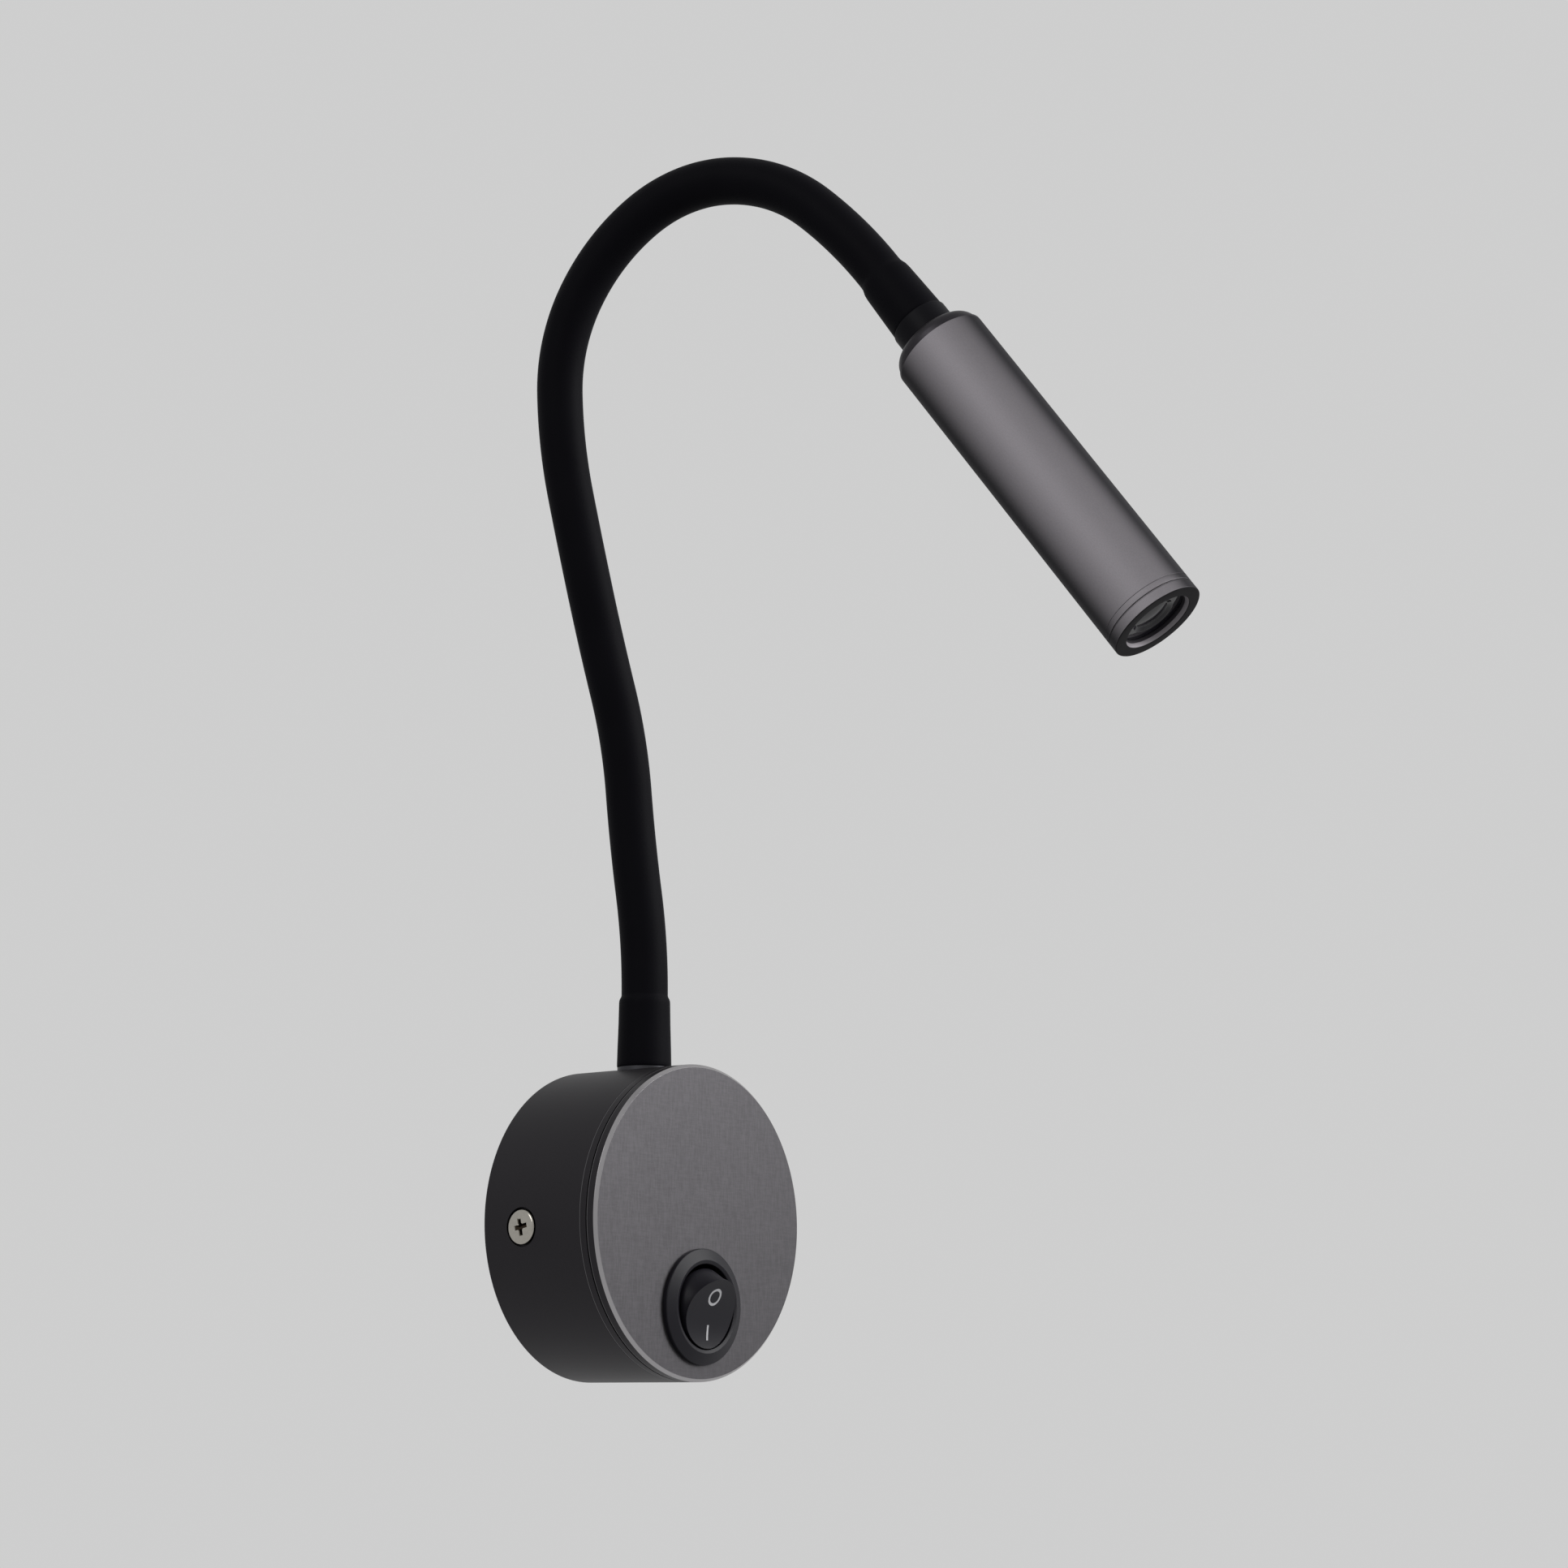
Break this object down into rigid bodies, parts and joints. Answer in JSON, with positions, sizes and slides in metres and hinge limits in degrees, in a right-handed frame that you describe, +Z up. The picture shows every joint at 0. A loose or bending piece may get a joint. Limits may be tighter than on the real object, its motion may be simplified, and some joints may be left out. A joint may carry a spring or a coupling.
{
  "type": "reading wall lamp",
  "caption": "Wall reading light with a round base, a rocker switch on its face, a bendable neck and a slim cylindrical spot head.",
  "frame": {"origin": "centre of the base's back face, on the wall, midway between the two wall screws", "axes": "+Z up along the wall, -Y out of the wall towards the room, +X to the right seen from the room"},
  "size_m": [0.0628, 0.1407, 0.2428],
  "materials": {
    "anodised": "dark grey anodised, fine brushed",
    "head_anodised": "dark grey anodised, blasted satin",
    "silicone": "matte black silicone",
    "spring_steel": "drawn steel",
    "nickel": "nickel plated",
    "zinc": "zinc plated",
    "switch_black": "satin black",
    "mark_white": "white inlay",
    "board_green": "solder mask",
    "part_black": "moulded",
    "ferrite": "ferrite",
    "block_green": "moulded",
    "contact_brass": "stamped",
    "wire_red": "insulation",
    "grommet_grey": "moulded rubber",
    "plunger_ivory": "moulded",
    "collar_dark": "black anodised",
    "lens_clear": "clear moulded",
    "board_white": "white mask",
    "chip_yellow": "phosphor",
    "sink_aluminium": "turned"
  },
  "bodies": {
    "base": {"wall_plate": "zinc", "cable_grommet": "grommet_grey", "base_housing": "anodised", "base_cover": "anodised", "side_screws": "nickel", "driver_board": "board_green", "board_screws": "zinc", "driver_coil": "ferrite", "driver_capacitor": "part_black", "driver_chip": "part_black", "terminal_block": "block_green", "terminal_screws": "zinc", "switch_leads": "wire_red", "switch_housing": "switch_black", "switch_terminals": "contact_brass", "neck_fitting": "nickel", "neck_nut": "zinc", "neck_washer": "zinc", "neck_foot": "silicone", "neck_wires": "wire_red"},
    "rocker": {"rocker": "switch_black", "rocker_marks": "mark_white", "rocker_plunger": "plunger_ivory", "rocker_spring": "spring_steel"},
    "switch_blade": {"switch_blade": "contact_brass"},
    "link_1": {"sleeve_1": "silicone", "core_1": "spring_steel"},
    "link_2": {"sleeve_2": "silicone", "core_2": "spring_steel"},
    "link_3": {"sleeve_3": "silicone", "core_3": "spring_steel"},
    "link_4": {"sleeve_4": "silicone", "core_4": "spring_steel"},
    "link_5": {"sleeve_5": "silicone", "core_5": "spring_steel"},
    "link_6": {"sleeve_6": "silicone", "core_6": "spring_steel"},
    "link_7": {"sleeve_7": "silicone", "core_7": "spring_steel"},
    "link_8": {"sleeve_8": "silicone", "core_8": "spring_steel"},
    "link_9": {"sleeve_9": "silicone", "core_9": "spring_steel"},
    "link_10": {"sleeve_10": "silicone", "core_10": "spring_steel"},
    "link_11": {"sleeve_11": "silicone", "core_11": "spring_steel"},
    "head": {"neck_top": "silicone", "head_fitting": "nickel", "head_collar": "collar_dark", "head_nut": "zinc", "head_shell": "head_anodised", "head_ring": "head_anodised", "lens": "lens_clear", "lens_holder": "part_black", "led_board": "board_white", "led_chip": "chip_yellow", "heat_sink": "sink_aluminium", "led_screws": "zinc"}
  },
  "joints": [
    {"name": "rocker_press", "type": "hinge", "parent": "base", "child": "rocker", "pos_m": [0, -0.02816, -0.0165], "axis": [-1, 0, 0], "range_deg": [0, 34]},
    {"name": "blade_tilt", "type": "hinge", "parent": "base", "child": "switch_blade", "pos_m": [0, -0.02121, -0.0165], "axis": [1, 0, 0], "range_deg": [0, 16]},
    {"name": "lower_sway", "type": "hinge", "parent": "base", "child": "link_1", "pos_m": [0, -0.014, 0.0461], "axis": [0, 1, 0], "range_deg": [-18, 18], "deforming": ["neck_wires"]},
    {"name": "lower_bend", "type": "hinge", "parent": "link_1", "child": "link_2", "pos_m": [-0.0008, -0.01287, 0.06694], "axis": [1, 0, 0], "range_deg": [0, 14]},
    {"name": "lower_sway_2", "type": "hinge", "parent": "link_2", "child": "link_3", "pos_m": [-0.00306, -0.01186, 0.08768], "axis": [0, 1, 0], "range_deg": [-18, 18]},
    {"name": "lower_bend_2", "type": "hinge", "parent": "link_3", "child": "link_4", "pos_m": [-0.00684, -0.01064, 0.10817], "axis": [1, 0, 0], "range_deg": [0, 14]},
    {"name": "lower_sway_3", "type": "hinge", "parent": "link_4", "child": "link_5", "pos_m": [-0.01171, -0.00855, 0.12838], "axis": [0, 1, 0], "range_deg": [-18, 18]},
    {"name": "lower_bend_3", "type": "hinge", "parent": "link_5", "child": "link_6", "pos_m": [-0.01647, -0.00699, 0.14867], "axis": [1, 0, 0], "range_deg": [0, 14]},
    {"name": "upper_sway", "type": "hinge", "parent": "link_6", "child": "link_7", "pos_m": [-0.02016, -0.00705, 0.16922], "axis": [0, 1, 0], "range_deg": [-18, 18]},
    {"name": "middle_bend", "type": "hinge", "parent": "link_7", "child": "link_8", "pos_m": [-0.02139, -0.01385, 0.18869], "axis": [0.9653, 0.2303, 0.1232], "range_deg": [-25, 10]},
    {"name": "upper_sway_2", "type": "hinge", "parent": "link_8", "child": "link_9", "pos_m": [-0.01963, -0.02883, 0.20288], "axis": [-0.2202, 0.4641, 0.858], "range_deg": [-18, 18]},
    {"name": "upper_bend", "type": "hinge", "parent": "link_9", "child": "link_10", "pos_m": [-0.01577, -0.0486, 0.20677], "axis": [0.9717, 0.1973, 0.1297], "range_deg": [-25, 12]},
    {"name": "upper_sway_3", "type": "hinge", "parent": "link_10", "child": "link_11", "pos_m": [-0.01129, -0.06672, 0.19807], "axis": [0.0292, -0.6778, 0.7346], "range_deg": [-18, 18]},
    {"name": "upper_bend_2", "type": "hinge", "parent": "link_11", "child": "head", "pos_m": [-0.00755, -0.08016, 0.18256], "axis": [0.9855, 0.1446, 0.0892], "range_deg": [-25, 12]}
  ],
  "couplings": [
    {"joint": "blade_tilt", "follows": "rocker_press", "ratio": 0.47059},
    {"joint": "lower_bend_2", "follows": "lower_bend", "ratio": 1},
    {"joint": "lower_bend_3", "follows": "lower_bend", "ratio": 1},
    {"joint": "upper_bend_2", "follows": "upper_bend", "ratio": 1},
    {"joint": "lower_sway_2", "follows": "lower_sway", "ratio": 1},
    {"joint": "lower_sway_3", "follows": "lower_sway", "ratio": 1},
    {"joint": "upper_sway_2", "follows": "upper_sway", "ratio": 1},
    {"joint": "upper_sway_3", "follows": "upper_sway", "ratio": 1}
  ]
}
